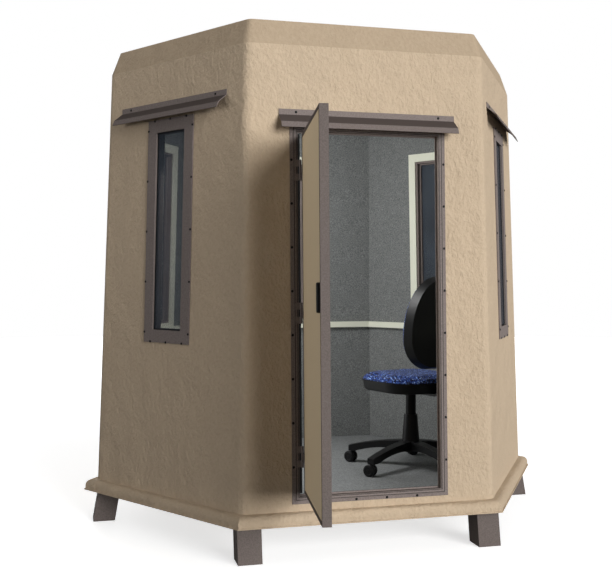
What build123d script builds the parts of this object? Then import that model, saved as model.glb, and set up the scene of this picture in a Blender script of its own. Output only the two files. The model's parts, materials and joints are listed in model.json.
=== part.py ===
from build123d import *

import os
from math import atan2, cos, radians, sin, tan

# A six-sided moulded hunting blind on splayed legs, with its door standing open and a swivel
# chair inside. +X runs right along the door wall, +Y runs in through the door and Z is up from
# the ground under the feet. The origin is on the ground below the middle of the room.

# Shell: plan sizes are over the outer wall faces at the underside of the skirt
front_width = 1142
overall_width = 2295
overall_depth = 1743
leg_height = 150
skirt_height = 52
skirt_reach = 46
skirt_wall = 8
skirt_nose = 30
skirt_inner_round = 13
skirt_fall = 5
skirt_lip = 5
skirt_lip_height = 6
floor_plate = 15
wall_height = 1988
wall_thickness = 40
draft_angle = 1.8
corner_radius = 50
roof_rise = 110
roof_inset = 38
roof_thickness = 45
crown_rise = 25
crown_inset = 260
lining_thickness = 5
lining_gap = 0.5
overrun = 20

# Legs
leg_size = 104
leg_splay = 33
front_leg_inset = 30
front_leg_setback = 50
side_leg_setback = 72

# Doorway and its frame
door_clear_width = 630
door_head_drop = 374
door_sill_rise = 70
jamb_thickness = 25
sleeve_wall = 10
flange_cover = 14
flange_thickness = 3
ring_cover = 1
ring_thickness = 6
lip_width = 7
lip_depth = 15
lip_thickness = 5

# Door leaf
door_clearance = 10
door_thickness = 35
door_edge_width = 16
door_edge_proud = 1
door_open_angle = 98
handle_width = 22
handle_height = 112
handle_thickness = 13
handle_inset = 20
handle_rise = 833
handle_end_share = 0.49
handle_rim_share = 0.4

# Hinges
hinge_height = 90
hinge_plate_width = 26
hinge_plate_thickness = 2.5
knuckle_radius = 5.5
pin_radius = 2.5
pin_clearance = 0.3
knuckle_gap = 0.5
knuckle_lift = 0.5
hinge_place_shares = (0.1, 0.5, 0.9)
knuckle_length_share = 1 / 3

# Windows
window_width = 200
window_height = 912
window_head_drop = 324
sleeve_thickness = 20
window_flange_width = 59
window_flange_thickness = 6
bead_width = 8
bead_depth = 10
pane_setback = 6
pane_thickness = 6
trim_width = 45
trim_thickness = 10
trim_reveal = 11
rail_height = 34
rail_depth = 22
rail_drop = 33
trim_gap = 0.3

# Drip awnings of bent sheet
sheet_thickness = 3
awning_flange = 25
awning_reach = 46
awning_fall = 37
awning_lip_reach = 11
awning_lip_fall = 25
awning_bend = 4
door_awning_length = 800
door_awning_rise = 99
window_awning_length = 740
window_awning_rise = 142

# Swivel chair, with heights above the carpet
chair_x = 453
chair_y = -143
chair_facing_angle = 108
spoke_count = 5
spoke_turn_angle = 34
spoke_reach = 322
spoke_root_width = 62
spoke_tip_width = 38
spoke_tip_height = 28
spoke_tip_underside = 63
spoke_crown = 125
spoke_arch = 92
spoke_middle_share = 0.55
hub_radius = 46
hub_bottom = 84
hub_top = 140
caster_radius = 30
caster_wheel_width = 17
caster_wheel_gap = 12
caster_body_radius = 24
caster_rim = 5
caster_trail = 14
caster_stem_radius = 5
caster_heading_angles = (200, 205, 310, 20, 75)
column_foot_radius = 45
column_head_radius = 34
column_top = 276
piston_radius = 26
piston_clearance = 0.4
piston_overlap = 120
seat_shell_bottom = 405
seat_shell_height = 52
seat_shell_inset = 12
seat_shell_rim = 14
seat_depth = 440
seat_width = 450
seat_corner = 150
seat_pad_height = 28
seat_pad_inset = 3
seat_pad_round = 14
mechanism_length = 160
mechanism_width = 100
mechanism_height = 16
back_width = 420
back_height = 462
back_waist_share = 0.35
back_corner = 150
back_bottom = 530
back_overlap = 15
back_shell_depth = 50
back_shell_inset = 14
back_pad_thickness = 30
back_pad_inset = 3
back_pad_round = 14
back_bar_width = 64
back_bar_thickness = 12
back_bar_bend = 40
back_bar_rise = 150
pad_gap = 0.3

# Levels, from the ground up
skirt_top = leg_height + skirt_height
eave = skirt_top + wall_height
roof_edge = eave + roof_rise
floor_underside = skirt_top - floor_plate
carpet_top = skirt_top + lining_thickness
door_sill = skirt_top + door_sill_rise
door_clear_height = eave - door_head_drop - door_sill
window_sill = eave - window_head_drop - window_height
rail_top = window_sill - rail_drop

# Plan geometry of the hexagon
half_front = front_width / 2
half_width = overall_width / 2
half_depth = overall_depth / 2
side_turn = atan2(half_depth, half_width - half_front)
draft = radians(draft_angle)
inner_depth = wall_thickness + lining_thickness
WALLS = ("front", "right_front", "right_back", "back", "left_back", "left_front")
FRONT = 0


def save(node, *shapes):
    """Writes the solids of one node as a STEP file."""
    solids = [solid for shape in shapes for solid in shape.solids()]
    export_step(Compound(children=solids), f"parts/{node}.step")


def corners(offset):
    """Corners of the hexagon with every wall moved out by offset, from the front left one round."""
    x_front = half_front + offset * tan(side_turn / 2)
    x_side = half_width + offset / sin(side_turn)
    y_front = half_depth + offset
    return [Vector(-x_front, -y_front), Vector(x_front, -y_front), Vector(x_side, 0),
            Vector(x_front, y_front), Vector(-x_front, y_front), Vector(-x_side, 0)]


def outline(offset, radius=0):
    """The hexagon as a face, with its corners rounded."""
    face = Polygon(*[(p.X, p.Y) for p in corners(offset)], align=None)
    return fillet(face.vertices(), radius) if radius else face


def wall_offset(height):
    """How far the outer face has moved at a height, because the walls lean in."""
    return (leg_height - height) * tan(draft)


def tapered_block(low, high, inset, radius=0):
    """A solid hexagonal block that follows the walls' lean, set in from their outer faces."""
    ends = [Pos(0, 0, z) * outline(wall_offset(z) - inset, radius) for z in (low, high)]
    return loft(ends, ruled=True)


def wall_plane(wall, height):
    """A wall's outer face at mid length: x runs along it, y up its slope and z straight out of it."""
    ends = corners(wall_offset(height))
    start, end = ends[wall], ends[(wall + 1) % len(WALLS)]
    along = (end - start).normalized()
    out = Vector(along.Y, -along.X)
    normal = out * cos(draft) + Vector(0, 0, 1) * sin(draft)
    middle = (start + end) / 2
    return Plane(origin=(middle.X, middle.Y, height), x_dir=along, z_dir=normal)


def sector(wall, gap=0):
    """The part of the plan between a wall's two mitre lines, moved outward to leave a gap beside it."""
    inside, outside = corners(-half_depth / 2), corners(half_depth)
    following = (wall + 1) % len(WALLS)
    along = (outside[following] - outside[wall]).normalized()
    shift = Vector(along.Y, -along.X) * gap
    points = [p + shift for p in (inside[wall], outside[wall], outside[following], inside[following])]
    return extrude(Polygon(*[(p.X, p.Y) for p in points], align=None), roof_edge)


def slab(plane, x, y, z):
    """A box given by its (low, high) spans along a plane's own axes."""
    spans = (x, y, z)
    middle = [(low + high) / 2 for low, high in spans]
    return plane * Pos(*middle) * Box(*[high - low for low, high in spans])


def frame_slab(plane, outer_x, outer_y, inner_x, inner_y, z):
    """A rectangular frame, given by its outer and inner spans."""
    through = (z[0] - overrun, z[1] + overrun)
    return slab(plane, outer_x, outer_y, z) - slab(plane, inner_x, inner_y, through)


def both_sides(half):
    return (-half, half)


def span_about(middle, length):
    return (middle - length / 2, middle + length / 2)


# Openings, in the planes of their walls
door_plane = wall_plane(FRONT, door_sill)
door_half = door_clear_width / 2
rough_half = door_half + jamb_thickness
rough_span = (-jamb_thickness, door_clear_height + jamb_thickness)
wall_through = (-inner_depth - overrun, overrun)
window_walls = [i for i in range(len(WALLS)) if i != FRONT]
window_planes = {i: wall_plane(i, window_sill) for i in window_walls}
hole_half = window_width / 2 + sleeve_thickness
hole_span = (-sleeve_thickness, window_height + sleeve_thickness)


def door_opening():
    return slab(door_plane, both_sides(rough_half), rough_span, wall_through)


def window_hole(wall):
    return slab(window_planes[wall], both_sides(hole_half), hole_span, wall_through)


def opening(wall):
    return door_opening() if wall == FRONT else window_hole(wall)


def make_shell():
    """The leaning walls, mitred at the corners, with the front wall split round the doorway."""
    low, high = skirt_top - overrun, eave + overrun
    ring = tapered_block(skirt_top, eave, 0, corner_radius) - tapered_block(low, high, wall_thickness)
    for wall in window_walls:
        save(f"{WALLS[wall]}_wall", (ring & sector(wall)) - window_hole(wall))
    front = ring & sector(FRONT)
    side = (rough_half, overall_width)
    tall = (-eave, eave)
    deep = (-half_depth, half_depth)
    save("front_wall_left", front & slab(door_plane, (-side[1], -side[0]), tall, deep))
    save("front_wall_right", front & slab(door_plane, side, tall, deep))
    save("front_wall_head", front & slab(door_plane, both_sides(rough_half), (rough_span[1], eave), deep))
    save("front_wall_sill", front & slab(door_plane, both_sides(rough_half), (-eave, rough_span[0]), deep))


def make_roof():
    """The moulded lid: a steep band round the edge, a slightly crowned top and a hollow underside."""
    eave_offset = wall_offset(eave)
    edge_offset = eave_offset - roof_inset
    edge_radius = corner_radius - roof_inset / 2
    band = loft([Pos(0, 0, eave) * outline(eave_offset, corner_radius),
                 Pos(0, 0, roof_edge) * outline(edge_offset, edge_radius)], ruled=True)
    crown_top = roof_edge + crown_rise
    crown = loft([Pos(0, 0, roof_edge) * outline(edge_offset, edge_radius),
                  Pos(0, 0, crown_top) * outline(edge_offset - crown_inset, edge_radius)], ruled=True)
    ceiling = roof_edge - roof_thickness
    cavity = tapered_block(eave - overrun, ceiling, wall_thickness)
    save("roof", band + crown - cavity)
    lining = extrude(outline(wall_offset(ceiling) - wall_thickness - lining_gap), lining_thickness)
    save("ceiling_lining", Pos(0, 0, ceiling - lining_thickness) * lining)


def make_base():
    """The moulded floor pan, with a rolled skirt carried round it, and the carpet on it."""
    face = skirt_reach - skirt_lip
    back = face - skirt_wall
    lip_top = leg_height + skirt_lip_height
    foot = wall_offset(skirt_top)
    nose = (face, skirt_top - skirt_fall)
    hollow = (back, floor_underside)
    points = [(-wall_thickness, skirt_top), (foot, skirt_top), nose, (face, lip_top), (skirt_reach, lip_top),
              (skirt_reach, leg_height), (back, leg_height), hollow, (-wall_thickness, floor_underside)]
    section = Polygon(*points, align=None)
    for corner, radius in ((nose, skirt_nose), (hollow, skirt_inner_round)):
        section = fillet(section.vertices().sort_by_distance(corner)[0], radius)
    ring = corners(0)
    start = (ring[0] + ring[1]) / 2
    path = Polyline(start, *ring[1:], ring[0], close=True)
    skirt = sweep(Plane(origin=start, x_dir=(0, -1, 0), z_dir=(-1, 0, 0)) * section, path=path,
                  transition=Transition.RIGHT)
    plate = Pos(0, 0, floor_underside) * extrude(outline(foot), floor_plate)
    save("base_pan", skirt + plate)
    carpet = extrude(outline(wall_offset(carpet_top) - wall_thickness), lining_thickness)
    save("floor_carpet", Pos(0, 0, skirt_top) * carpet)


def make_legs():
    """Square legs at the six corners that lean out towards the ground."""
    front_x = half_front - front_leg_inset
    front_y = half_depth - front_leg_setback
    side_x = half_width - side_leg_setback
    section = Rectangle(leg_size, leg_size)
    places = {"front_left": (-front_x, -front_y, 0, -1), "front_right": (front_x, -front_y, 0, -1),
              "back_left": (-front_x, front_y, 0, 1), "back_right": (front_x, front_y, 0, 1),
              "left": (-side_x, 0, -1, 0), "right": (side_x, 0, 1, 0)}
    for name, (x, y, lean_x, lean_y) in places.items():
        foot = Pos(x + lean_x * leg_splay, y + lean_y * leg_splay, 0) * section
        top = Pos(x, y, floor_underside) * section
        save(f"leg_{name}", loft([foot, top], ruled=True))


def make_lining():
    """Carpet on the inner wall faces and the pale rail that runs round the room below the windows."""
    carpet = tapered_block(carpet_top + lining_gap, eave, wall_thickness)
    carpet -= tapered_block(skirt_top, eave + overrun, inner_depth)
    rail = tapered_block(rail_top - rail_height, rail_top, inner_depth)
    rail -= tapered_block(skirt_top, eave, inner_depth + rail_depth)
    doorway = slab(door_plane, both_sides(rough_half), both_sides(eave), both_sides(half_depth))
    panels, rails = [], []
    for wall in range(len(WALLS)):
        place = sector(wall, lining_gap)
        panels.append((carpet & place) - opening(wall))
        rails.append((rail & place) - doorway if wall == FRONT else rail & place)
    save("wall_lining", *panels)
    save("wall_rail", *rails)


def make_windows():
    """In each wall but the front, a flanged frame, a pane against its bead and the pale trim indoors."""
    half = window_width / 2
    clear_x, clear_y = both_sides(half), (0, window_height)
    flange_x = both_sides(half + window_flange_width)
    flange_y = (-window_flange_width, window_height + window_flange_width)
    sight_x, sight_y = both_sides(half - bead_width), (bead_width, window_height - bead_width)
    pane_back = -pane_setback - pane_thickness
    trim_half = half + trim_reveal
    trim_head = window_height + trim_reveal
    trim_back = -inner_depth - trim_thickness
    trim_low = trim_gap - rail_drop / cos(draft) - trim_back * tan(draft)
    panes, trims = [], []
    for wall in window_walls:
        plane = window_planes[wall]
        frame = frame_slab(plane, flange_x, flange_y, clear_x, clear_y, (0, window_flange_thickness))
        frame += frame_slab(plane, both_sides(hole_half), hole_span, clear_x, clear_y, (-inner_depth, 0))
        frame += frame_slab(plane, clear_x, clear_y, sight_x, sight_y, (pane_back - bead_depth, pane_back))
        save(f"window_frame_{WALLS[wall]}", frame)
        panes.append(slab(plane, clear_x, clear_y, (pane_back, -pane_setback)))
        trims.append(frame_slab(plane, both_sides(trim_half + trim_width), (trim_low, trim_head + trim_width),
                                both_sides(trim_half), (-trim_reveal, trim_head), (trim_back, -inner_depth)))
    save("window_panes", *panes)
    save("window_trims", *trims)


def awning(plane, rise, length):
    """A drip awning bent from one sheet: a flange on the wall, a slope out of it and a steeper lip."""
    middle = sheet_thickness / 2
    knee = (middle + awning_reach, -awning_flange - awning_fall)
    tip = (knee[0] + awning_lip_reach, knee[1] - awning_lip_fall)
    line = FilletPolyline((middle, 0), (middle, -awning_flange), knee, tip, radius=awning_bend)
    top = plane.from_local_coords((0, rise, 0))
    section = Plane(origin=top, x_dir=plane.z_dir, z_dir=-plane.x_dir)
    return extrude(section * trace(line, sheet_thickness), length / 2, both=True)


def make_awnings():
    save("door_awning", awning(door_plane, door_clear_height + door_awning_rise, door_awning_length))
    rise = window_height + window_awning_rise
    save("window_awnings", *[awning(plane, rise, window_awning_length) for plane in window_planes.values()])


# The leaf's closed place in the doorway, and the hinge pin's line in front of its left edge
leaf_x = both_sides(door_half - door_clearance)
leaf_y = (door_clearance, door_clear_height - door_clearance)
leaf_z = (ring_thickness - door_thickness, ring_thickness)
pin_x = -door_half + door_clearance / 2
pin_z = ring_thickness + knuckle_lift + knuckle_radius
hinge_axis = Axis(door_plane.from_local_coords((pin_x, 0, pin_z)), door_plane.y_dir)


def opened(shape):
    """Swings a closed door piece out to where it stands."""
    return shape.rotate(hinge_axis, -door_open_angle)


def door_ring(inner, outer, z):
    """A rectangular ring round the clear opening, from one distance outside its edge to another."""
    outer_x, outer_y = both_sides(door_half + outer), (-outer, door_clear_height + outer)
    inner_x, inner_y = both_sides(door_half + inner), (-inner, door_clear_height + inner)
    return frame_slab(door_plane, outer_x, outer_y, inner_x, inner_y, z)


def mitred(frame, *ends):
    """The side of the door frame that lies between two corners of the opening, cut at its mitres."""
    inner = [Vector(x * door_half, y * door_clear_height) for x, y in ends]
    reach = jamb_thickness + flange_cover + overrun
    outer = [Vector(x * (door_half + reach), y * door_clear_height + (y * 2 - 1) * reach) for x, y in ends]
    points = [(p.X, p.Y) for p in (inner[0], inner[1], outer[1], outer[0])]
    prism = extrude(door_plane * Polygon(*points, align=None), half_depth, both=True)
    return frame & prism


def make_door_frame():
    """A stepped frame in four mitred lengths: screw flange, raised ring, lip and a sleeve in the wall."""
    frame = door_ring(lip_width, jamb_thickness + flange_cover, (0, flange_thickness))
    frame += door_ring(lip_width, jamb_thickness + ring_cover, (0, ring_thickness))
    frame += door_ring(lip_width, jamb_thickness, (-lip_depth, 0))
    frame += door_ring(0, jamb_thickness, (-lip_depth - lip_thickness, -lip_depth))
    frame += door_ring(jamb_thickness - sleeve_wall, jamb_thickness, (-inner_depth, -lip_depth))
    left_low, left_high, right_low, right_high = (-1, 0), (-1, 1), (1, 0), (1, 1)
    save("door_hinge_jamb", mitred(frame, left_low, left_high) + hinge_halves(fixed=True))
    save("door_latch_jamb", mitred(frame, right_low, right_high))
    save("door_head", mitred(frame, left_high, right_high))
    save("door_threshold", mitred(frame, left_low, right_low))


def hinge_halves(fixed):
    """The jamb's halves of the hinges, with outer knuckles and pins, or the leaf's, with a middle knuckle."""
    pitch = hinge_height * knuckle_length_share
    length = pitch - knuckle_gap
    halves = Part()
    for share in hinge_place_shares:
        centre = leaf_y[0] + share * (leaf_y[1] - leaf_y[0])
        middle = door_plane.from_local_coords((pin_x, centre, pin_z))
        line = Plane(origin=middle, x_dir=door_plane.x_dir, z_dir=door_plane.y_dir)
        if fixed:
            halves += line * Cylinder(pin_radius, hinge_height)
            plate_x = (pin_x - hinge_plate_width, pin_x)
            places = (-pitch, pitch)
        else:
            plate_x = (pin_x, leaf_x[0] + hinge_plate_width)
            places = (0,)
        for place in places:
            plate_z = (ring_thickness, ring_thickness + hinge_plate_thickness)
            knuckle = line * Pos(0, 0, place) * Cylinder(knuckle_radius, length)
            knuckle += slab(door_plane, plate_x, span_about(centre + place, length), plate_z)
            bore = line * Cylinder(pin_radius + pin_clearance, hinge_height)
            halves += knuckle if fixed else knuckle - bore
    return halves


def make_door():
    """The leaf, its edge channel, hinges and latch handle, all standing open."""
    edge_x = (leaf_x[0] + door_edge_width, leaf_x[1] - door_edge_width)
    edge_y = (leaf_y[0] + door_edge_width, leaf_y[1] - door_edge_width)
    panel_z = (leaf_z[0] + door_edge_proud, leaf_z[1] - door_edge_proud)
    save("door_panel", opened(slab(door_plane, edge_x, edge_y, panel_z)))
    save("door_edge_trim", opened(frame_slab(door_plane, leaf_x, leaf_y, edge_x, edge_y, leaf_z)))
    save("door_hinges", opened(hinge_halves(fixed=False)))
    grip = RectangleRounded(handle_width, handle_height, handle_width * handle_end_share)
    handle = extrude(grip, handle_thickness)
    handle = fillet(handle.faces().sort_by(Axis.Z)[-1].edges(), handle_thickness * handle_rim_share)
    handle_x = leaf_x[1] - handle_inset - handle_width / 2
    save("door_handle", opened(door_plane * Pos(handle_x, handle_rise, panel_z[1]) * handle))


def chair_place(shape):
    """Stands a chair piece, made about its own column and facing +X, on the carpet."""
    return Location((chair_x, chair_y, carpet_top), (0, 0, chair_facing_angle)) * shape


def spoke():
    """One arm of the base, along +X: crowned above, arched below and narrower towards its tip."""
    end = spoke_reach + spoke_tip_width / 2
    heel = spoke_reach - spoke_tip_width / 2
    middle = spoke_reach * spoke_middle_share
    tip_top = spoke_tip_underside + spoke_tip_height
    crown = ThreePointArc((0, hub_top), (middle, spoke_crown), (end, tip_top))
    tip = Polyline((end, tip_top), (end, spoke_tip_underside), (heel, spoke_tip_underside))
    arch = ThreePointArc((heel, spoke_tip_underside), (middle, spoke_arch), (0, hub_bottom))
    root = Line((0, hub_bottom), (0, hub_top))
    side = extrude(Plane.XZ * make_face([crown, *tip.edges(), arch, root]), spoke_root_width, both=True)
    plan = Polygon((0, -spoke_root_width / 2), (end, -spoke_tip_width / 2), (end, spoke_tip_width / 2),
                   (0, spoke_root_width / 2), align=None)
    return side & extrude(plan, hub_top)


def caster(heading):
    """Twin wheels on a body that trails behind its stem, with the stem at the origin."""
    middle = (caster_wheel_width + caster_wheel_gap) / 2
    wheel = Cylinder(caster_radius, caster_wheel_width)
    wheel = fillet(wheel.edges().filter_by(GeomType.CIRCLE), caster_rim)
    pair = Cylinder(caster_body_radius, caster_wheel_gap)
    for side in both_sides(middle):
        pair += Pos(0, 0, side) * wheel
    stem_height = spoke_tip_underside - caster_radius
    stem = Pos(0, 0, caster_radius + stem_height / 2) * Cylinder(caster_stem_radius, stem_height)
    return Rot(0, 0, heading) * (stem + Pos(-caster_trail, 0, caster_radius) * Rot(90, 0, 0) * pair)


def make_chair_base():
    """A five-armed base on casters, with the tapered cover round its gas spring."""
    hub_height = hub_top - hub_bottom
    star = Pos(0, 0, hub_bottom + hub_height / 2) * Cylinder(hub_radius, hub_height)
    casters = []
    for i in range(spoke_count):
        turn = spoke_turn_angle + i * 360 / spoke_count
        heading = caster_heading_angles[i % len(caster_heading_angles)]
        star += Rot(0, 0, turn) * spoke()
        casters.append(chair_place(Rot(0, 0, turn) * Pos(spoke_reach, 0, 0) * caster(heading - turn)))
    bore_radius = piston_radius + piston_clearance
    bore = Pos(0, 0, hub_bottom + hub_height / 2) * Cylinder(bore_radius, hub_height + overrun)
    save("chair_base", chair_place(star - bore))
    save("chair_casters", *casters)
    length = column_top - hub_top
    cover = Cone(column_foot_radius, column_head_radius, length) - Cylinder(bore_radius, length + overrun)
    save("chair_column", chair_place(Pos(0, 0, hub_top + length / 2) * cover))


def seat_plan(inset):
    return RectangleRounded(seat_depth - inset * 2, seat_width - inset * 2, seat_corner - inset)


def back_outline(inset):
    """The back's egg: half an ellipse above its waist and a round-cornered block below, as a face."""
    half = back_width / 2 - inset
    rise = back_height * (1 - back_waist_share) - inset
    drop = back_height * back_waist_share - inset
    upper = Ellipse(half, rise) & Rectangle(half * 2, rise, align=(Align.CENTER, Align.MIN))
    lower = Rectangle(half * 2, drop, align=(Align.CENTER, Align.MAX))
    lower = fillet(lower.vertices().sort_by(Axis.Y)[:2], back_corner - inset)
    return upper + lower


def make_chair_seat():
    """The gas spring's rod and the seat that turns on it."""
    mechanism_bottom = seat_shell_bottom - mechanism_height
    piston_bottom = column_top - piston_overlap
    length = mechanism_bottom - piston_bottom
    save("chair_piston", chair_place(Pos(0, 0, piston_bottom + length / 2) * Cylinder(piston_radius, length)))
    shell_top = seat_shell_bottom + seat_shell_height
    lower = Pos(0, 0, seat_shell_bottom) * seat_plan(seat_shell_inset)
    upper = Pos(0, 0, shell_top) * seat_plan(0)
    shell = loft([lower, upper], ruled=True)
    shell = fillet(shell.faces().sort_by(Axis.Z)[0].edges(), seat_shell_rim)
    save("chair_seat_shell", chair_place(shell))
    pad = Pos(0, 0, shell_top + pad_gap) * extrude(seat_plan(seat_pad_inset), seat_pad_height)
    pad = fillet(pad.faces().sort_by(Axis.Z)[-1].edges(), seat_pad_round)
    save("chair_seat_pad", chair_place(pad))


def make_chair_back():
    """The egg-shaped back: a dished shell, its pad and the bent bar that carries it from under the seat."""
    setback = seat_depth / 2 - back_overlap
    waist = back_bottom + back_height * back_waist_share
    rear = Plane(origin=(-setback, 0, waist), x_dir=(0, -1, 0), z_dir=(-1, 0, 0))
    deepest = rear.offset(back_shell_depth) * back_outline(back_shell_inset)
    shell = loft([rear * back_outline(0), deepest], ruled=True)
    save("chair_back_shell", chair_place(shell))
    pad = extrude(rear.offset(-pad_gap) * back_outline(back_pad_inset), -back_pad_thickness)
    pad = fillet(pad.faces().sort_by(Axis.X)[-1].edges(), back_pad_round)
    save("chair_back_pad", chair_place(pad))
    bar_x = -setback - back_shell_depth - back_bar_thickness / 2
    bar_z = seat_shell_bottom - back_bar_thickness / 2
    bar_top = back_bottom + back_bar_rise
    path = FilletPolyline((0, bar_z), (bar_x, bar_z), (bar_x, bar_top), radius=back_bar_bend)
    bar = extrude(Plane.XZ * trace(path, back_bar_thickness), back_bar_width / 2, both=True)
    mechanism = Box(mechanism_length, mechanism_width, mechanism_height)
    bar += Pos(0, 0, seat_shell_bottom - mechanism_height / 2) * mechanism
    save("chair_back_bar", chair_place(bar))


os.makedirs("parts", exist_ok=True)
make_base()
make_legs()
make_shell()
make_roof()
make_lining()
make_windows()
make_awnings()
make_door_frame()
make_door()
make_chair_base()
make_chair_seat()
make_chair_back()
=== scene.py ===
import json
import math

import bmesh
import bpy
import numpy as np
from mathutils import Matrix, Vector


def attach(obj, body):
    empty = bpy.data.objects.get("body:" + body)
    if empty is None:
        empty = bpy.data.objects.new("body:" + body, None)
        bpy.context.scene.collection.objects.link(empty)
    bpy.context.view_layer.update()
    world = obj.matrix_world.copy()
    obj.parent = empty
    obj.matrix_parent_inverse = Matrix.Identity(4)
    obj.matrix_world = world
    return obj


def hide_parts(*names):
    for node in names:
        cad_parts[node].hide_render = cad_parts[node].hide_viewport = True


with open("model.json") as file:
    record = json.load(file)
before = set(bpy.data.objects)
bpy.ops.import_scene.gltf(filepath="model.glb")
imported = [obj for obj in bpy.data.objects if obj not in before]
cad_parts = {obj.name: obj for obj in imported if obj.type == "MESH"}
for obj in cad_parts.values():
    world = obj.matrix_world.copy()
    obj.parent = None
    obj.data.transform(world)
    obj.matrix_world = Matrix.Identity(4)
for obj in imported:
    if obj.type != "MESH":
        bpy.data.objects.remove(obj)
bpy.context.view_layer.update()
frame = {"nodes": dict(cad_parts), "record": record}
nodes = frame["nodes"]
scene = bpy.context.scene

MM = 0.001
UPRIGHT = np.array([0.0, 0.0, 1.0])

# Camera, from the photograph's vanishing points and the hut's corners: pixels, metres and degrees
IMAGE_WIDTH = 612
FOCAL_PIXELS = 920.0
SENSOR = 36.0
EYE = (-1.2477, -4.6510, 1.2016)
EYE_YAW = -14.16
EYE_PITCH = -0.93

# Solids that the small fittings sit on: the walls' lean, flanges, the panes' depth and bent sheet
LEAN = math.radians(1.8)
WINDOW_WALLS = ("right_front", "right_back", "back", "left_back", "left_front")
WINDOW_FLANGE, WINDOW_BORDER = 6 * MM, 59 * MM
PANE_BEHIND = 12 * MM
DOOR_RING, DOOR_FLANGE, DOOR_BORDER = 6 * MM, 3 * MM, 39 * MM
SHEET = 3 * MM

# Awnings: flange, rise from a window's opening to its awning's top, half lengths and spaces to the end screws
AWNING_FLANGE = 25 * MM
AWNING_RISE = 142 * MM
WINDOW_AWNING_HALF, WINDOW_AWNING_END = 370 * MM, 70 * MM
DOOR_AWNING_HALF, DOOR_AWNING_END = 400 * MM, 75 * MM

# Pan-headed screws: (radius, height) from the head's skirt up to its crown, then insets, counts and spaces
SCREW = np.array([(5.6, -0.5), (5.6, 1.0), (4.9, 2.0), (3.4, 2.8), (1.2, 3.2)]) * MM
WINDOW_SCREW_INSET, DOOR_SCREW_INSET = 3.5 * MM, 7 * MM
STILE_SCREWS, RAIL_SCREWS, CORNER_SPACE = 5, 3, 47 * MM
JAMB_SCREWS, JAMB_SPACE = 8, 157 * MM
HEAD_SCREWS, HEAD_SPACE = 4, 145 * MM

# Rubber: the gasket's section (spread, height) and the hinge strip's section (across, out from the wall);
# and the spreads and heights of two black lines that paint the shadow in the door frame's steps
GASKET = np.array([(-5, -1), (-5, 1.5), (-3.5, 2.5), (0.5, 2.5), (0.5, -1)]) * MM
FRAME_SHADOW_LINES = ((9.4, 11.6), (20.4, 22.6))
LINE_FOOT, LINE_TOP = 5.5, 6.6
HINGE_SEAL = np.array([(-331, -44), (-303, -44), (-300, -41), (-300, -37), (-303, -34), (-331, -34)]) * MM

# Chair: its column's place and facing, its arms, and the wheel pair at the end of each arm
CHAIR_MIDDLE = np.array([453, -143]) * MM
CHAIR_FACING = math.radians(108)
ARMS = 5
ARM_ANGLES = CHAIR_FACING + np.radians(34 + 360 / ARMS * np.arange(ARMS))
ARM_REACH = 322 * MM
CASTER_HEADINGS = CHAIR_FACING + np.radians([200, 205, 310, 20, 75])
CASTER_RADIUS, CASTER_HALF_WIDTH, CASTER_TRAIL = 30 * MM, 23 * MM, 14 * MM
# A hub cap with a raised rim and a boss: (radius, height) from its edge in to its middle
HUB_CAP = np.array([(23, -1), (23, 0.8), (21.5, 1.8), (19.5, 1.8),
                    (18, 0.6), (7, 0.6), (6, 1.6), (1, 2.0)]) * MM
HUB_TURNS = 28

# Cushions: voxel of the skin, depth that is held, frames run, pressure inside and how far a point may travel
PAD_MERGE = 0.05 * MM
PAD_VOXEL = 6 * MM
PAD_HELD = 0.6 * PAD_VOXEL
PAD_FRAMES = 20
PAD_PRESSURE = 4.0
SEAT_CAP, BACK_CAP = 9 * MM, 8 * MM

# Far lamps: azimuth to the right of the front, elevation, strength and width across the sky, in degrees
SUNS = {
    "key": (27, 13, 3.7, 38),
    "near_fill": (-82, -5, 1.06, 30),
    "low_fill": (75, -20, 0.17, 60),
    "far_fill": (180, 6, 2.5, 40),
    "leaf_fill": (-92, 0, 0.6, 30),
}
SUN_DISTANCE = 9
# Lamps in the room: place, target, watts and width
ROOM_LAMPS = {
    "room": ((-0.5, -0.3, 1.95), (0.35, 0.45, 0.7), 19, 0.6),
    "room_side": ((-0.5, 0.32, 0.7), (0.45, -0.14, 0.3), 3.4, 0.5),
}
# Even light: level, level overhead, change towards the right, and the share that comes from below
AMBIENT = 0.1
OVERHEAD = 0.24
RIGHTWARD = -0.02
GROUND_SHARE = 0.6

# Studio floor: a disc, and a glow that rises from near to far
FLOOR_RADIUS, FLOOR_RINGS, FLOOR_TURNS = 14.0, 24, 48
GLOW_NEAR, GLOW_FAR = 1.5, 7.0
GLOW_LOW, GLOW_HIGH = 0.66, 0.95


def linear(colour):
    """An sRGB hex colour as linear red, green, blue and alpha."""
    parts = np.array([int(colour[i:i + 2], 16) for i in (1, 3, 5)]) / 255.0
    low, high = parts / 12.92, ((parts + 0.055) / 1.055) ** 2.4
    return (*np.where(parts <= 0.04045, low, high).tolist(), 1.0)


def per_metre(millimetres):
    """A pattern scale that gives features of that size."""
    return 1.0 / (millimetres * MM)


def add(tree, kind, settings=None, values=None, links=None, stops=()):
    """Adds a node: settings are its properties, values fill its inputs, links feed them, and stops are a
    colour ramp's (place, hex colour) pairs, in order."""
    node = tree.nodes.new(kind)
    for name, value in (settings or {}).items():
        setattr(node, name, value)
    for name, value in (values or {}).items():
        node.inputs[name].default_value = value
    for name, socket in (links or {}).items():
        tree.links.new(socket, node.inputs[name])
    if stops:
        elements = node.color_ramp.elements
        elements[0].position, elements[1].position = stops[0][0], stops[-1][0]
        for place, _ in stops[1:-1]:
            elements.new(place)
        for element, (_, colour) in zip(elements, stops):
            element.color = linear(colour)
    return node


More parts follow.
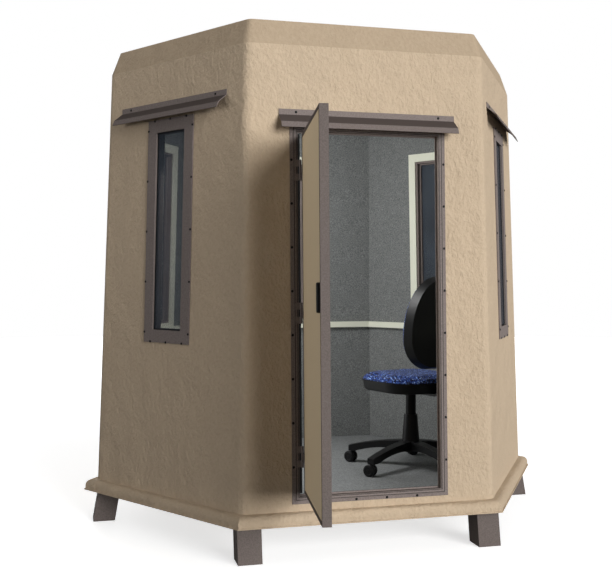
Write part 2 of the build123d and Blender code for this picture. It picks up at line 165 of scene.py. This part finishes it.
def start_material(name, roughness, specular):
    """A new material with its shader's plain values set, its node tree and its Object coordinates."""
    material = bpy.data.materials.new(name)
    material.use_nodes = True
    tree = material.node_tree
    shader = tree.nodes["Principled BSDF"]
    shader.inputs["Roughness"].default_value = roughness
    shader.inputs["Specular IOR Level"].default_value = specular
    coords = add(tree, "ShaderNodeTexCoord").outputs["Object"]
    return material, tree, shader, coords


def finish_material(tree, shader, colour, height, strength, distance, edge=0.0):
    """Feeds the shader its colour and a bump, over edges that are softened by a small radius when one is
    given.
    """
    links = {"Height": height}
    if edge:
        links["Normal"] = add(tree, "ShaderNodeBevel", {"samples": 4}, {"Radius": edge}).outputs[0]
    bump = add(tree, "ShaderNodeBump", values={"Strength": strength, "Distance": distance}, links=links)
    tree.links.new(colour, shader.inputs["Base Color"])
    tree.links.new(bump.outputs["Normal"], shader.inputs["Normal"])


def stucco_gelcoat(name, light, dark, lump_mm, relief_mm):
    """Fibreglass moulded against a trowelled stucco face: matt, with shallow slanting lumps that
    shade softly, and slow swells in the laminate behind them."""
    material, tree, shader, coords = start_material(name, 0.8, 0.25)
    slant = add(tree, "ShaderNodeMapping", links={"Vector": coords},
                values={"Rotation": (0.3, 0.45, 0.2), "Scale": (1.0, 1.0, 0.7)})
    lumps = add(tree, "ShaderNodeTexNoise", links={"Vector": slant.outputs[0]},
                values={"Scale": per_metre(lump_mm), "Detail": 4.0, "Roughness": 0.6, "Distortion": 0.35})
    swell = add(tree, "ShaderNodeTexNoise", links={"Vector": coords},
                values={"Scale": per_metre(130), "Detail": 2.0})
    height = add(tree, "ShaderNodeMath", {"operation": "MULTIPLY_ADD"}, {1: 2.2},
                 {0: swell.outputs["Fac"], 2: lumps.outputs["Fac"]})
    # The colour follows the lumps, darker in their hollows: painted shade that adds to the bump's own
    # shading.
    tint = add(tree, "ShaderNodeValToRGB", links={"Fac": lumps.outputs["Fac"]},
               stops=((0.3, dark), (0.7, light)))
    finish_material(tree, shader, tint.outputs["Color"], height.outputs[0], 1.0, relief_mm * MM)
    return material


def powder_coat(name, colour, fleck, upward_shade_colour):
    """Powder-coated sheet and extrusion: low sheen, with a pebbled skin that is drawn coarser than
    the real one so that it shows, and painted darker where a face looks up: painted shade, for
    the little light that falls from above."""
    material, tree, shader, coords = start_material(name, 0.7, 0.06)
    pebble = add(tree, "ShaderNodeTexNoise", links={"Vector": coords},
                 values={"Scale": per_metre(5), "Detail": 3.0})
    tint = add(tree, "ShaderNodeValToRGB", links={"Fac": pebble.outputs["Fac"]},
               stops=((0.35, colour), (0.65, fleck)))
    slope = add(tree, "ShaderNodeSeparateXYZ", links={0: add(tree, "ShaderNodeTexCoord").outputs["Normal"]})
    looks_up = add(tree, "ShaderNodeMapRange", links={"Value": slope.outputs["Z"]},
                   values={"From Min": 0.3, "From Max": 0.75})
    # Painted shade: faces that look up are mixed towards the darker colour, for the little light from above.
    painted_upward_shade = add(tree, "ShaderNodeMix", {"data_type": "RGBA"}, {7: linear(upward_shade_colour)},
                    {0: looks_up.outputs[0], 6: tint.outputs["Color"]})
    finish_material(tree, shader, painted_upward_shade.outputs[2], pebble.outputs["Fac"], 0.4, 0.5 * MM, edge=1.5 * MM)
    return material


def carpet(name, dark, mid, light, fibre_mm):
    """Needle-punched carpet: rough, heathered from dark and light fibres that are drawn coarser than real
    ones so that they show, with a felted pile."""
    material, tree, shader, coords = start_material(name, 0.95, 0.1)
    fibres = add(tree, "ShaderNodeTexNoise", links={"Vector": coords},
                 values={"Scale": per_metre(fibre_mm), "Detail": 4.0, "Roughness": 0.7})
    patches = add(tree, "ShaderNodeTexNoise", links={"Vector": coords},
                  values={"Scale": per_metre(fibre_mm * 9), "Detail": 2.0})
    blend = add(tree, "ShaderNodeMath", {"operation": "MULTIPLY_ADD"}, {1: 0.08},
                {0: patches.outputs["Fac"], 2: fibres.outputs["Fac"]})
    tint = add(tree, "ShaderNodeValToRGB", links={"Fac": blend.outputs[0]},
               stops=((0.36, dark), (0.54, mid), (0.72, light)))
    finish_material(tree, shader, tint.outputs["Color"], fibres.outputs["Fac"], 0.7, 2.0 * MM)
    return material


def moulding(name, colour, shade, roughness, specular, edge_mm=1.5):
    """Injection-moulded plastic or painted steel: an even colour with a faint mottle and a fine grain."""
    material, tree, shader, coords = start_material(name, roughness, specular)
    grain = add(tree, "ShaderNodeTexNoise", links={"Vector": coords},
                values={"Scale": per_metre(3), "Detail": 3.0})
    tint = add(tree, "ShaderNodeValToRGB", links={"Fac": grain.outputs["Fac"]},
               stops=((0.35, colour), (0.65, shade)))
    finish_material(tree, shader, tint.outputs["Color"], grain.outputs["Fac"], 0.3, 0.15 * MM,
                    edge=edge_mm * MM)
    return material


def float_glass(name, tint, haze):
    """Grey-tinted float glass: dark, smooth and half see-through, with faint roller waves."""
    material, tree, shader, coords = start_material(name, 0.04, 0.2)
    shader.inputs["IOR"].default_value = 1.25
    shader.inputs["Alpha"].default_value = 0.6
    waves = add(tree, "ShaderNodeTexNoise", links={"Vector": coords}, values={"Scale": per_metre(160)})
    colour = add(tree, "ShaderNodeValToRGB", links={"Fac": waves.outputs["Fac"]},
                 stops=((0.3, tint), (0.7, haze)))
    finish_material(tree, shader, colour.outputs["Color"], waves.outputs["Fac"], 0.05, 1.0 * MM)
    return material


def flecked_weave(name, navy, royal, mid, pale):
    """Upholstery cloth woven from royal blue yarn with slanting pale and navy flecks, drawn a little coarser
    than real yarn so that they show."""
    material, tree, shader, coords = start_material(name, 0.9, 0.15)
    shader.inputs["Sheen Weight"].default_value = 0.15
    slant = add(tree, "ShaderNodeMapping", links={"Vector": coords},
                values={"Rotation": (0.0, 0.0, 0.35), "Scale": (1.0, 0.42, 0.8)})
    flecks = add(tree, "ShaderNodeTexVoronoi", links={"Vector": slant.outputs[0]},
                 values={"Scale": per_metre(4.4), "Randomness": 0.7})
    pick = add(tree, "ShaderNodeSeparateColor", links={"Color": flecks.outputs["Color"]})
    yarn = add(tree, "ShaderNodeValToRGB", links={"Fac": pick.outputs["Red"]},
               stops=((0.0, navy), (0.4, royal), (0.72, mid), (0.9, pale)))
    yarn.color_ramp.interpolation = "CONSTANT"
    finish_material(tree, shader, yarn.outputs["Color"], flecks.outputs["Distance"], 0.5, 1.2 * MM)
    return material


MATERIALS = {
    "stucco_shell": stucco_gelcoat("stucco_gelcoat", "#C4B097", "#BCA88F", 14, 8.5),
    # The leaf's gelcoat is painted paler than the walls': painted light on the leaf, over a smoother skin.
    "door_skin": stucco_gelcoat("door_gelcoat", "#CDB999", "#C8B494", 6, 0.2),
    # The brown's last colour is the painted shade on faces that look up.
    "brown_trim": powder_coat("brown_powder_coat", "#857B77", "#756B67", "#4C4441"),
    "floor_carpet": carpet("cut_pile_floor_carpet", "#666868", "#7C7E7E", "#929494", 6.0),
    "wall_carpet": carpet("needled_wall_carpet", "#555756", "#747675", "#939594", 5.5),
    "pale_trim": moulding("off_white_moulding", "#E4E5D4", "#DEDFCD", 0.5, 0.3),
    "window_glass": float_glass("grey_float_glass", "#343B44", "#434C56"),
    "black_plastic": moulding("black_nylon", "#101011", "#171718", 0.42, 0.3),
    "black_steel": moulding("black_steel", "#0C0C0C", "#121212", 0.5, 0.2, edge_mm=0.5),
    "blue_fabric": flecked_weave("blue_flecked_weave", "#0C1330", "#223879", "#3A589E", "#86A4DE"),
}
# Darker copies that paint shade: the roof's gelcoat, for its band that gets little light from above, and the
# brown of the legs, under the skirt, and of the leaf's edge
ROOF_SHADE_GELCOAT = stucco_gelcoat("roof_painted_shade_gelcoat", "#B29F87", "#A9967E", 14, 4.5)
PAINTED_SHADE_COAT = powder_coat("painted_shade_brown_coat", "#716864", "#645B57", "#4A423F")


def dress_cad_nodes():
    """Gives every CAD node the finish of its slot, or a darker copy of it that paints shade."""
    for part in frame["record"]["subparts"]:
        mesh = nodes[part["node"]].data
        finish = MATERIALS[part["material_slot"]]
        # Painted shade: the legs and the leaf's edge take the darker copy of the brown.
        if part["node"].startswith(("leg_", "door_edge")):
            finish = PAINTED_SHADE_COAT
        # Painted shade: the roof takes the darker copy of the gelcoat.
        if part["node"] == "roof":
            finish = ROOF_SHADE_GELCOAT
        mesh.materials.clear()
        mesh.materials.append(finish)


def place_piece(name, mesh, slot, body):
    """Makes an object of a mesh that is already in place, in a slot's finish, riding on a body."""
    piece = bpy.data.objects.new(name, mesh)
    mesh.materials.append(MATERIALS[slot])
    scene.collection.objects.link(piece)
    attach(piece, body)
    return piece


def closed_mesh(name, points, faces):
    """A mesh of points and faces, with its faces turned outwards."""
    mesh = bpy.data.meshes.new(name)
    mesh.from_pydata(np.reshape(points, (-1, 3)).tolist(), [], faces)
    skin = bmesh.new()
    skin.from_mesh(mesh)
    bmesh.ops.recalc_face_normals(skin, faces=skin.faces)
    skin.to_mesh(mesh)
    skin.free()
    return mesh


def mesh_points(mesh):
    """A mesh's points as an array."""
    points = np.empty(len(mesh.vertices) * 3)
    mesh.vertices.foreach_get("co", points)
    return points.reshape(-1, 3)


def node_points(node):
    """A CAD node's points as an array."""
    return mesh_points(nodes[node].data)


def turned_heads(name, places, axes, profile, slot, body, turns=12):
    """Small turned fittings: a profile of (radius, height) is carried round each place's out axis, so a
    point is place + radius(cos a across + sin a up) + height out, and both ends are closed."""
    places, axes, profile = np.array(places), np.array(axes), np.array(profile)
    angles = np.linspace(0.0, 2 * np.pi, turns, endpoint=False)
    ring = np.stack([np.cos(angles), np.sin(angles)], axis=1)
    flat = profile[:, None, :1] * ring[None]
    rise = np.broadcast_to(profile[:, None, 1:], (len(profile), turns, 1))
    local = np.concatenate([flat, rise], axis=2)
    points = places[:, None, None] + np.einsum("kmi,nij->nkmj", local, axes)
    count = len(profile) * turns
    here = np.arange(turns)
    after = np.roll(here, -1)
    row = np.arange(len(profile) - 1)[:, None] * turns
    sides = np.stack([row + here, row + after, row + turns + after, row + turns + here], axis=2)
    starts = np.arange(len(places))[:, None, None] * count
    faces = (sides.reshape(-1, 4)[None] + starts).reshape(-1, 4).tolist()
    ends = np.stack([here[::-1], count - turns + here])
    faces += (ends[None] + starts).reshape(-1, turns).tolist()
    return place_piece(name, closed_mesh(name, points, faces), slot, body)


def banded(name, rings, profile, slot, body):
    """Bands round rectangles: a closed profile of (spread, height) is carried round four mitred corners, so
    a point is middle + sx(half x + spread) across + sy(half y + spread) up + height out."""
    corners = np.array([(-1, -1), (1, -1), (1, 1), (-1, 1)])
    count = len(profile)
    here, turn = np.arange(count)[:, None], np.arange(4)[None]
    step, after = (here + 1) % count, (turn + 1) % 4
    quads = np.stack([here * 4 + turn, step * 4 + turn, step * 4 + after, here * 4 + after], axis=2)
    points, faces = [], []
    for middle, axes, half in rings:
        flat = corners[None] * (np.array(half)[None, None] + profile[:, None, :1])
        rise = np.broadcast_to(profile[:, None, 1:], (count, 4, 1))
        faces += (quads.reshape(-1, 4) + len(points) * count * 4).tolist()
        points.append(middle + np.concatenate([flat, rise], axis=2) @ axes)
    return place_piece(name, closed_mesh(name, points, faces), slot, body)


def drawn_strip(name, profile, low, high, axes, slot, body):
    """A straight strip: a closed profile of (across, out) points is drawn up from low to high, and both
    ends are closed."""
    count = len(profile)
    ends = [np.insert(profile, 1, level, axis=1) @ axes for level in (low, high)]
    here = np.arange(count)
    after = np.roll(here, -1)
    faces = np.stack([here, after, after + count, here + count], axis=1).tolist()
    faces += [here.tolist(), (here + count).tolist()]
    return place_piece(name, closed_mesh(name, ends, faces), slot, body)


def spaced(half, count, end):
    """Even places from one end space to the other along a length."""
    return np.linspace(-half + end, half - end, count)


def wall_axes(node):
    """Middle of a window frame, its axes and its half sizes: across is the longer way in plan, up runs up
    the wall's slope, and out turns away from the room and leans with the wall."""
    points = node_points(node)
    middle = (points.min(axis=0) + points.max(axis=0)) / 2
    spread = np.cov((points - middle)[:, :2].T)
    across = np.append(np.linalg.eigh(spread)[1][:, 1], 0.0)
    level = np.array([across[1], -across[0], 0.0])
    level *= np.sign(level @ middle)
    up = np.array([*(-math.sin(LEAN) * level[:2]), math.cos(LEAN)])
    out = np.array([*(math.cos(LEAN) * level[:2]), math.sin(LEAN)])
    axes = np.array([np.cross(up, out), up, out])
    local = (points - middle) @ axes.T
    low, high = local.min(axis=0), local.max(axis=0)
    return middle + axes.T @ ((low + high) / 2), axes, (high - low) / 2


def fit_windows():
    """Five screws down each stile and three along each rail, near the outer edge of every flange, two in
    the flange of the awning over it, and a gasket round every pane."""
    frame_places, frame_axes, awning_places, awning_axes, panes = [], [], [], [], []
    screw_x = WINDOW_AWNING_HALF - WINDOW_AWNING_END
    for wall in WINDOW_WALLS:
        middle, axes, half = wall_axes(f"window_frame_{wall}")
        across, up, out = axes
        face = middle + out * half[2]
        edge_x, edge_y = half[:2] - WINDOW_SCREW_INSET
        flat = [(x, y) for x in (-edge_x, edge_x) for y in spaced(half[1], STILE_SCREWS, CORNER_SPACE)]
        flat += [(x, y) for y in (-edge_y, edge_y) for x in spaced(half[0], RAIL_SCREWS, CORNER_SPACE)]
        frame_places += [face + across * x + up * y for x, y in flat]
        frame_axes += [axes] * len(flat)
        lift = half[1] - WINDOW_BORDER + AWNING_RISE - AWNING_FLANGE / 2
        awning = face - out * (WINDOW_FLANGE - SHEET) + up * lift
        awning_places += [awning + across * x for x in (-screw_x, screw_x)]
        awning_axes += [axes] * 2
        panes.append((face - out * PANE_BEHIND, axes, half[:2] - WINDOW_BORDER))
    turned_heads("window_screws", frame_places, frame_axes, SCREW, "black_steel", "shelter")
    turned_heads("window_awning_screws", awning_places, awning_axes, SCREW, "black_steel", "shelter")
    banded("window_gaskets", panes, GASKET, "black_steel", "shelter")


def fit_door_frame():
    """Eight screws down each jamb and four along the head and the threshold, in the outer flange, two in
    the flange of the awning, two black lines round the frame that paint the shadow in its steps, and a strip
    that closes the hinge side."""
    across = np.array([1.0, 0.0, 0.0])
    up = np.array([0.0, math.sin(LEAN), math.cos(LEAN)])
    axes = np.array([across, up, np.cross(across, up)])
    latch, sill = node_points("door_latch_jamb") @ axes.T, node_points("door_threshold") @ axes.T
    low, high = latch.min(axis=0), latch.max(axis=0)
    half = np.array([high[0], (high[1] - low[1]) / 2])
    middle = np.array([0.0, (high[1] + low[1]) / 2, sill[:, 2].max() - DOOR_RING + DOOR_FLANGE])
    edge_x, edge_y = half - DOOR_SCREW_INSET
    flat = [(x, y) for x in (-edge_x, edge_x) for y in spaced(half[1], JAMB_SCREWS, JAMB_SPACE)]
    flat += [(x, y) for y in (-edge_y, edge_y) for x in spaced(half[0], HEAD_SCREWS, HEAD_SPACE)]
    places = [(middle + (x, y, 0)) @ axes for x, y in flat]
    turned_heads("door_frame_screws", places, [axes] * len(places), SCREW, "black_steel", "shelter")

    opening = half - DOOR_BORDER
    wall = middle - (0, 0, DOOR_FLANGE)
    # Painted shadow: two black strips stand in for the shadow lines of the frame's steps.
    for count, (near, far) in enumerate(FRAME_SHADOW_LINES):
        profile = np.array([(near, LINE_FOOT), (near, LINE_TOP), (far, LINE_TOP), (far, LINE_FOOT)]) * MM
        banded(f"door_frame_shadow_line_{count}", [(wall @ axes, axes, opening)], profile, "black_steel", "shelter")
    seal = HINGE_SEAL + (0, wall[2])
    foot, top = wall[1] - opening[1], wall[1] + opening[1]
    drawn_strip("hinge_seal", seal, foot, top, axes, "black_steel", "shelter")

    awning = node_points("door_awning") @ axes.T
    flange = np.array([0.0, awning[:, 1].max() - AWNING_FLANGE / 2, awning[:, 2].min() + SHEET])
    screw_x = DOOR_AWNING_HALF - DOOR_AWNING_END
    places = [(flange + (x, 0, 0)) @ axes for x in (-screw_x, screw_x)]
    turned_heads("door_awning_screws", places, [axes] * 2, SCREW, "black_steel", "shelter")


def cap_casters():
    """A turned cap on the outer face of each wheel: the place is the arm's tip, less the trail along the
    heading, plus or minus half the pair's width along the axle, a wheel's radius above the carpet."""
    ground = node_points("chair_casters")[:, 2].min()
    places, axes = [], []
    for arm, heading in zip(ARM_ANGLES, CASTER_HEADINGS):
        along = np.array([math.cos(heading), math.sin(heading)])
        pivot = CHAIR_MIDDLE + ARM_REACH * np.array([math.cos(arm), math.sin(arm)]) - CASTER_TRAIL * along
        for side in (-1, 1):
            out = side * np.array([-along[1], along[0], 0.0])
            places.append(np.append(pivot, ground + CASTER_RADIUS) + CASTER_HALF_WIDTH * out)
            axes.append((np.cross(UPRIGHT, out), UPRIGHT, out))
    turned_heads("caster_caps", places, axes, HUB_CAP, "black_plastic", "shelter", turns=HUB_TURNS)


def baked_mesh(piece):
    """The mesh of an object with its modifiers worked in."""
    graph = bpy.context.evaluated_depsgraph_get()
    return bpy.data.meshes.new_from_object(piece.evaluated_get(graph))


def pad_skin(name, node):
    """A pad's solid with its doubles merged, remeshed into one even skin."""
    skin = bmesh.new()
    skin.from_mesh(nodes[node].data)
    bmesh.ops.remove_doubles(skin, verts=skin.verts, dist=PAD_MERGE)
    mesh = bpy.data.meshes.new(name)
    skin.to_mesh(mesh)
    skin.free()
    draft = bpy.data.objects.new(name + "_draft", mesh)
    scene.collection.objects.link(draft)
    remesh = draft.modifiers.new("skin", "REMESH")
    remesh.mode, remesh.voxel_size = "VOXEL", PAD_VOXEL
    draft.data = baked_mesh(draft)
    draft.modifiers.clear()
    return draft


def blow_up(draft, facing, cap):
    """Runs the skin as cloth with pressure inside, held where it rests, then keeps each point within cap of
    where it was and in front of the plane that it rests on."""
    start = mesh_points(draft.data)
    depth = start @ facing
    group = draft.vertex_groups.new(name="held")
    group.add(np.flatnonzero(depth < depth.min() + PAD_HELD).tolist(), 1.0, "REPLACE")
    cloth = draft.modifiers.new("cloth", "CLOTH")
    cloth.settings.use_pressure = True
    cloth.settings.uniform_pressure_force = PAD_PRESSURE
    cloth.settings.effector_weights.gravity = 0.0
    cloth.settings.vertex_group_mass = "held"
    cloth.collision_settings.use_collision = False
    cloth.point_cache.frame_start, cloth.point_cache.frame_end = 1, PAD_FRAMES
    for step in range(1, PAD_FRAMES + 1):
        scene.frame_set(step)
    swollen = mesh_points(baked_mesh(draft))
    draft.modifiers.clear()
    scene.frame_set(1)
    move = swollen - start
    length = np.linalg.norm(move, axis=1, keepdims=True)
    end = start + move * np.minimum(1.0, cap / np.maximum(length, 1e-9))
    end += np.maximum(depth.min() - end @ facing, 0.0)[:, None] * facing
    draft.data.vertices.foreach_set("co", end.ravel())


def plump_pad(name, node, facing, cap, body):
    """Upholstery: the solid's skin is blown up, subdivided once and put in the solid's place."""
    draft = pad_skin(name, node)
    blow_up(draft, facing, cap)
    smooth = draft.modifiers.new("smooth", "SUBSURF")
    smooth.levels = smooth.render_levels = 1
    mesh = baked_mesh(draft)
    bpy.data.objects.remove(draft)
    mesh.materials.clear()
    mesh.shade_smooth()
    pad = place_piece(name, mesh, "blue_fabric", body)
    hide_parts(node)


def upholster_chair():
    """The seat's cushion swells upwards and the back's towards the sitter."""
    ahead = np.array([math.cos(CHAIR_FACING), math.sin(CHAIR_FACING), 0.0])
    plump_pad("seat_cushion", "chair_seat_pad", UPRIGHT, SEAT_CAP, "chair_seat")
    plump_pad("back_cushion", "chair_back_pad", ahead, BACK_CAP, "chair_seat")


def place_camera():
    """The photograph's view: the lens is the focal length in pixels as a share of the picture's width."""
    data = bpy.data.cameras.new("camera")
    data.sensor_width = SENSOR
    data.lens = FOCAL_PIXELS / IMAGE_WIDTH * SENSOR
    camera = bpy.data.objects.new("camera", data)
    camera.location = EYE
    camera.rotation_euler = (math.radians(90 + EYE_PITCH), 0, math.radians(EYE_YAW))
    scene.collection.objects.link(camera)
    scene.camera = camera


def lamp(name, kind, place, target, energy, **settings):
    """A lamp that the camera doesn't see, turned from its place to its target."""
    data = bpy.data.lights.new(name, kind)
    data.energy = energy
    for key, value in settings.items():
        setattr(data, key, value)
    light = bpy.data.objects.new(name, data)
    light.location = place
    light.visible_camera = False
    light.rotation_euler = (Vector(target) - Vector(place)).to_track_quat("-Z", "Y").to_euler()
    scene.collection.objects.link(light)
    return light


def surround_with_light():
    """An even light that is brighter overhead and dimmer from below, behind a backdrop that is white where
    the camera sees it directly."""
    world = bpy.data.worlds.new("studio")
    scene.world = world
    world.use_nodes = True
    tree = world.node_tree
    path = add(tree, "ShaderNodeLightPath")
    direct = add(tree, "ShaderNodeMath", {"operation": "LESS_THAN"}, {1: 0.5},
                 {0: path.outputs["Transparent Depth"]})
    backdrop = add(tree, "ShaderNodeMath", {"operation": "MULTIPLY"},
                   links={0: path.outputs["Is Camera Ray"], 1: direct.outputs[0]})
    way = add(tree, "ShaderNodeSeparateXYZ",
              links={0: add(tree, "ShaderNodeTexCoord").outputs["Generated"]})
    ambient = add(tree, "ShaderNodeMapRange", {"interpolation_type": "SMOOTHSTEP"},
                  {"From Min": 0.45, "From Max": 0.95, "To Min": AMBIENT, "To Max": OVERHEAD},
                  {"Value": way.outputs["Z"]})
    ground = add(tree, "ShaderNodeMapRange", links={"Value": way.outputs["Z"]},
                 values={"From Min": -0.1, "From Max": 0.1, "To Min": GROUND_SHARE})
    side = add(tree, "ShaderNodeMath", {"operation": "MULTIPLY_ADD"}, {1: RIGHTWARD},
               {0: way.outputs["X"], 2: ambient.outputs[0]})
    around = add(tree, "ShaderNodeMath", {"operation": "MULTIPLY"},
                 links={0: side.outputs[0], 1: ground.outputs[0]})
    strength = add(tree, "ShaderNodeMix", {"data_type": "FLOAT"}, {3: 1.0},
                   {0: backdrop.outputs[0], 2: around.outputs[0]})
    tree.links.new(strength.outputs[0], tree.nodes["Background"].inputs["Strength"])
    tree.nodes["Background"].inputs["Color"].default_value = (1, 1, 1, 1)
    scene.view_settings.view_transform = "Standard"


def light_studio():
    """A low soft key from the front right, fills on the left, low on the right and behind, one fill that
    reaches the door leaf alone, and two lamps indoors."""
    for name, (azimuth, elevation, energy, width) in SUNS.items():
        turn, rise = math.radians(azimuth), math.radians(elevation)
        way = np.array([math.sin(turn) * math.cos(rise), -math.cos(turn) * math.cos(rise), math.sin(rise)])
        lamp(name, "SUN", way * SUN_DISTANCE, (0, 0, 0), energy, angle=math.radians(width))
    leaf = bpy.data.collections.new("leaf")
    leaf.objects.link(nodes["door_panel"])
    scene.objects["leaf_fill"].light_linking.receiver_collection = leaf
    for name, (place, target, watts, width) in ROOM_LAMPS.items():
        lamp(name, "AREA", place, target, watts, shape="DISK", size=width)


def lay_floor():
    """A pale studio floor: a disc of rings at even steps, whose glow rises outwards to the backdrop's
    white."""
    reach = np.linspace(0.0, FLOOR_RADIUS, FLOOR_RINGS + 1)[1:]
    angles = np.linspace(0.0, 2 * np.pi, FLOOR_TURNS, endpoint=False)
    points = np.stack([np.outer(reach, np.cos(angles)), np.outer(reach, np.sin(angles)),
                       np.zeros((FLOOR_RINGS, FLOOR_TURNS))], axis=2).reshape(-1, 3)
    here = np.arange(FLOOR_TURNS)
    after = np.roll(here, -1)
    row = np.arange(FLOOR_RINGS - 1)[:, None] * FLOOR_TURNS
    outer = row + FLOOR_TURNS
    faces = np.stack([row + here, outer + here, outer + after, row + after], axis=2).reshape(-1, 4)
    mesh = bpy.data.meshes.new("floor")
    mesh.from_pydata(points.tolist(), [], faces.tolist() + [here.tolist()])
    floor = bpy.data.objects.new("floor", mesh)
    material, tree, shader, coords = start_material("studio_floor", 0.9, 0.1)
    shader.inputs["Base Color"].default_value = linear("#F2F2F2")
    shader.inputs["Emission Color"].default_value = (1, 1, 1, 1)
    distance = add(tree, "ShaderNodeVectorMath", {"operation": "LENGTH"}, links={0: coords})
    glow = add(tree, "ShaderNodeMapRange", {"interpolation_type": "SMOOTHSTEP"},
               {"From Min": GLOW_NEAR, "From Max": GLOW_FAR, "To Min": GLOW_LOW, "To Max": GLOW_HIGH},
               {"Value": distance.outputs["Value"]})
    tree.links.new(glow.outputs[0], shader.inputs["Emission Strength"])
    mesh.materials.append(material)
    scene.collection.objects.link(floor)
    floor.visible_diffuse = floor.visible_glossy = False


dress_cad_nodes()
fit_windows()
fit_door_frame()
cap_casters()
upholster_chair()
place_camera()
surround_with_light()
light_studio()
lay_floor()
